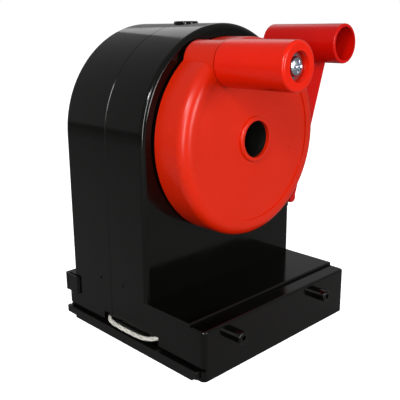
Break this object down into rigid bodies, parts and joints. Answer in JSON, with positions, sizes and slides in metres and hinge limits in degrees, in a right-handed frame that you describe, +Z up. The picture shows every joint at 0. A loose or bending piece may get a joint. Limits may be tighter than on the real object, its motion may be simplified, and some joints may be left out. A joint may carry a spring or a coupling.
{
  "type": "pencil sharpener",
  "caption": "Hand-cranked desktop pencil sharpener: arched two-shell casing on a stepped base, crank wheel with knob, swing-out grip lever, shavings tray with cord loop.",
  "frame": {"origin": "on the desk under the crank axis, in the plane of the casing's front wall", "axes": "+X to the right seen from the crank side, +Y back through the casing, +Z up"},
  "size_m": [0.1154, 0.1001, 0.1226],
  "materials": {
    "black_shell": "glossy black moulded",
    "black_plate": "fine-textured black moulded",
    "black_tray": "glossy black moulded",
    "black_trim": "glossy black",
    "black_hub": "satin black",
    "foot_rubber": "moulded",
    "bumper_rubber": "moulded",
    "bush_plastic": "moulded natural",
    "gear_plastic": "moulded natural",
    "zinc_steel": "zinc plated",
    "plain_steel": "turned",
    "cutter_steel": "ground",
    "red_wheel": "satin-gloss red moulded",
    "red_knob": "gloss red moulded",
    "red_lever": "gloss red moulded",
    "cord_fabric": "braided"
  },
  "bodies": {
    "casing": {"front_shell": "black_shell", "rear_shell": "black_shell", "case_screws": "zinc_steel", "floor_plate": "black_plate", "plate_screws": "zinc_steel", "feet": "foot_rubber", "rear_bumper": "bumper_rubber", "top_plug": "black_trim", "front_posts": "black_trim", "hub_bush": "bush_plastic", "ring_gear": "gear_plastic", "ring_screws": "zinc_steel", "lever_bracket": "black_trim", "bracket_screws": "zinc_steel", "pivot_pin": "red_lever", "lever_washer": "plain_steel"},
    "crank": {"crank_wheel": "red_wheel", "hub_tube": "black_hub", "carrier_posts": "plain_steel", "carrier_plate": "plain_steel", "knob_axle": "plain_steel", "knob_washer": "zinc_steel", "knob_screw": "zinc_steel"},
    "knob": {"knob_sleeve": "red_knob"},
    "cutter": {"cutter": "cutter_steel", "cutter_spindle": "plain_steel", "spindle_clip": "plain_steel", "pinion": "plain_steel"},
    "lever": {"lever_arm": "red_lever", "grip_tube": "red_lever"},
    "tray": {"shavings_tray": "black_tray", "pull_cord": "cord_fabric"}
  },
  "joints": [
    {"name": "crank_turn", "type": "hinge", "parent": "casing", "child": "crank", "pos_m": [0, 0, 0.0793], "axis": [0, 1, 0], "continuous": true},
    {"name": "knob_spin", "type": "hinge", "parent": "crank", "child": "knob", "pos_m": [-0.0157, -0.03, 0.108], "axis": [0, 1, 0], "continuous": true},
    {"name": "cutter_spin", "type": "hinge", "parent": "crank", "child": "cutter", "pos_m": [0, 0.02, 0.0673], "axis": [0, 1, 0], "continuous": true},
    {"name": "lever_swing", "type": "hinge", "parent": "casing", "child": "lever", "pos_m": [0.0456, 0.0027, 0.0446], "axis": [0, 1, 0], "range_deg": [0, 60]},
    {"name": "tray_slide", "type": "slide", "parent": "casing", "child": "tray", "axis": [-1, 0, 0], "range_m": [0, 0.066]}
  ],
  "couplings": [
    {"joint": "cutter_spin", "follows": "crank_turn", "ratio": -3}
  ]
}
